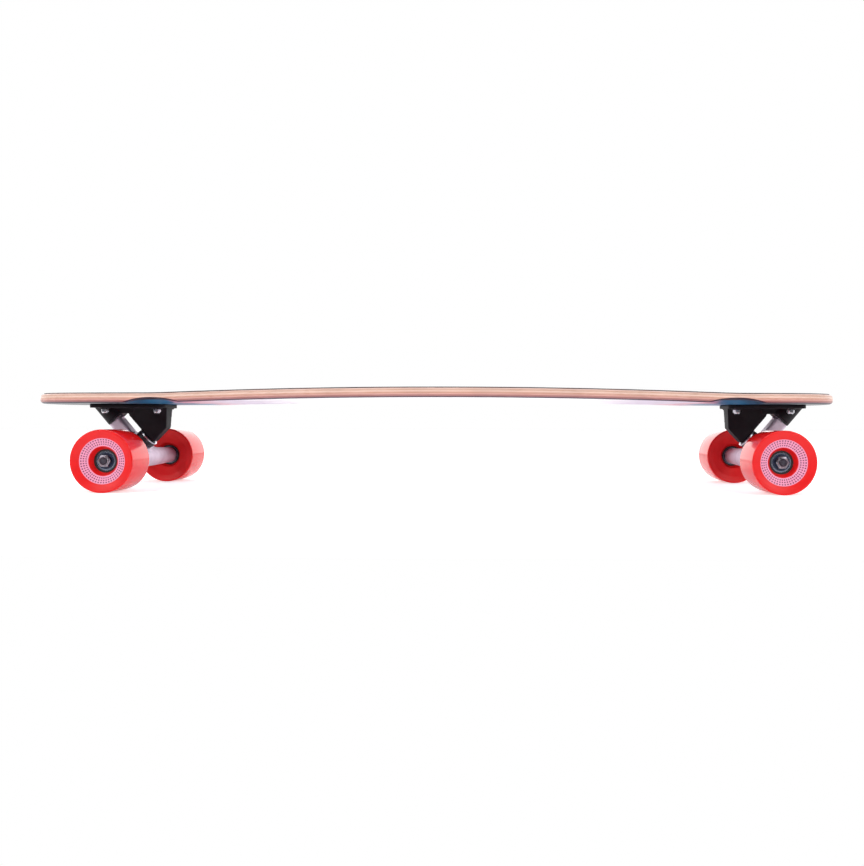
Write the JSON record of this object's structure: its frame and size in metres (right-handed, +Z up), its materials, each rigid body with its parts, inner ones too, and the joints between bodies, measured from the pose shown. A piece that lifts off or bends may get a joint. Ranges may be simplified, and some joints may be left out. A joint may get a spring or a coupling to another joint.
{
  "type": "skateboard",
  "caption": "Cambered wooden longboard deck with grip tape on two sprung lean-to-steer trucks with soft urethane wheels.",
  "frame": {"origin": "on the ground under the middle of the board, midway between its two tips across and along", "axes": "+X to the front, +Y to the left, +Z up"},
  "size_m": [0.951, 0.258, 0.1177],
  "materials": {
    "maple_deck": "satin",
    "grip_tape": "gritty",
    "painted_baseplate": "satin",
    "cast_hanger": "satin",
    "hardware_steel": "bright zinc",
    "black_bolt": "black oxide",
    "bushing_urethane": "satin",
    "pivot_cup_urethane": "matte",
    "wheel_urethane": "matte",
    "wheel_core": "matte",
    "bearing_steel": "polished",
    "bearing_seal": "satin",
    "cage_nylon": "natural"
  },
  "bodies": {
    "board": {"deck": "maple_deck", "grip_tape": "grip_tape", "front_mounting_bolts": "black_bolt", "front_mounting_nuts": "hardware_steel", "front_baseplate": "painted_baseplate", "front_pivot_cup": "pivot_cup_urethane", "front_kingpin": "hardware_steel", "front_kingpin_nut": "hardware_steel", "front_board_bushing": "bushing_urethane", "front_road_bushing": "bushing_urethane", "front_bushing_washers": "hardware_steel", "rear_mounting_bolts": "black_bolt", "rear_mounting_nuts": "hardware_steel", "rear_baseplate": "painted_baseplate", "rear_pivot_cup": "pivot_cup_urethane", "rear_kingpin": "hardware_steel", "rear_kingpin_nut": "hardware_steel", "rear_board_bushing": "bushing_urethane", "rear_road_bushing": "bushing_urethane", "rear_bushing_washers": "hardware_steel"},
    "front_hanger_assembly": {"front_hanger": "cast_hanger", "front_axle": "hardware_steel", "front_axle_nuts": "hardware_steel", "front_speed_washers": "hardware_steel", "front_bearing_spacers": "bearing_steel", "front_inner_races": "bearing_steel"},
    "rear_hanger_assembly": {"rear_hanger": "cast_hanger", "rear_axle": "hardware_steel", "rear_axle_nuts": "hardware_steel", "rear_speed_washers": "hardware_steel", "rear_bearing_spacers": "bearing_steel", "rear_inner_races": "bearing_steel"},
    "front_left_wheel": {"front_left_tyre": "wheel_urethane", "front_left_core": "wheel_core", "front_left_outer_races": "bearing_steel", "front_left_seals": "bearing_seal"},
    "front_left_bearing_balls": {"front_left_balls": "bearing_steel", "front_left_cages": "cage_nylon"},
    "front_right_wheel": {"front_right_tyre": "wheel_urethane", "front_right_core": "wheel_core", "front_right_outer_races": "bearing_steel", "front_right_seals": "bearing_seal"},
    "front_right_bearing_balls": {"front_right_balls": "bearing_steel", "front_right_cages": "cage_nylon"},
    "rear_left_wheel": {"rear_left_tyre": "wheel_urethane", "rear_left_core": "wheel_core", "rear_left_outer_races": "bearing_steel", "rear_left_seals": "bearing_seal"},
    "rear_left_bearing_balls": {"rear_left_balls": "bearing_steel", "rear_left_cages": "cage_nylon"},
    "rear_right_wheel": {"rear_right_tyre": "wheel_urethane", "rear_right_core": "wheel_core", "rear_right_outer_races": "bearing_steel", "rear_right_seals": "bearing_seal"},
    "rear_right_bearing_balls": {"rear_right_balls": "bearing_steel", "rear_right_cages": "cage_nylon"}
  },
  "joints": [
    {"name": "front_lean", "type": "hinge", "parent": "board", "child": "front_hanger_assembly", "pos_m": [0.41675, 0, 0.08423], "axis": [-0.6428, 0, -0.766], "range_deg": [-15, 15], "stiffness_Nm_per_rad": 60, "deforming": ["front_board_bushing", "front_road_bushing"]},
    {"name": "rear_lean", "type": "hinge", "parent": "board", "child": "rear_hanger_assembly", "pos_m": [-0.38976, 0, 0.08423], "axis": [0.6428, 0, -0.766], "range_deg": [-15, 15], "stiffness_Nm_per_rad": 60, "deforming": ["rear_board_bushing", "rear_road_bushing"]},
    {"name": "front_left_wheel_spin", "type": "hinge", "parent": "front_hanger_assembly", "child": "front_left_wheel", "pos_m": [0.3855, 0.103, 0.035], "axis": [0, 1, 0], "continuous": true},
    {"name": "front_left_ball_travel", "type": "hinge", "parent": "front_hanger_assembly", "child": "front_left_bearing_balls", "pos_m": [0.3855, 0.103, 0.035], "axis": [0, 1, 0], "continuous": true},
    {"name": "front_right_wheel_spin", "type": "hinge", "parent": "front_hanger_assembly", "child": "front_right_wheel", "pos_m": [0.3855, -0.103, 0.035], "axis": [0, 1, 0], "continuous": true},
    {"name": "front_right_ball_travel", "type": "hinge", "parent": "front_hanger_assembly", "child": "front_right_bearing_balls", "pos_m": [0.3855, -0.103, 0.035], "axis": [0, 1, 0], "continuous": true},
    {"name": "rear_left_wheel_spin", "type": "hinge", "parent": "rear_hanger_assembly", "child": "rear_left_wheel", "pos_m": [-0.3585, 0.103, 0.035], "axis": [0, 1, 0], "continuous": true},
    {"name": "rear_left_ball_travel", "type": "hinge", "parent": "rear_hanger_assembly", "child": "rear_left_bearing_balls", "pos_m": [-0.3585, 0.103, 0.035], "axis": [0, 1, 0], "continuous": true},
    {"name": "rear_right_wheel_spin", "type": "hinge", "parent": "rear_hanger_assembly", "child": "rear_right_wheel", "pos_m": [-0.3585, -0.103, 0.035], "axis": [0, 1, 0], "continuous": true},
    {"name": "rear_right_ball_travel", "type": "hinge", "parent": "rear_hanger_assembly", "child": "rear_right_bearing_balls", "pos_m": [-0.3585, -0.103, 0.035], "axis": [0, 1, 0], "continuous": true}
  ],
  "couplings": [
    {"joint": "front_left_ball_travel", "follows": "front_left_wheel_spin", "ratio": 0.6323},
    {"joint": "front_right_ball_travel", "follows": "front_right_wheel_spin", "ratio": 0.6323},
    {"joint": "rear_left_ball_travel", "follows": "rear_left_wheel_spin", "ratio": 0.6323},
    {"joint": "rear_right_ball_travel", "follows": "rear_right_wheel_spin", "ratio": 0.6323}
  ]
}
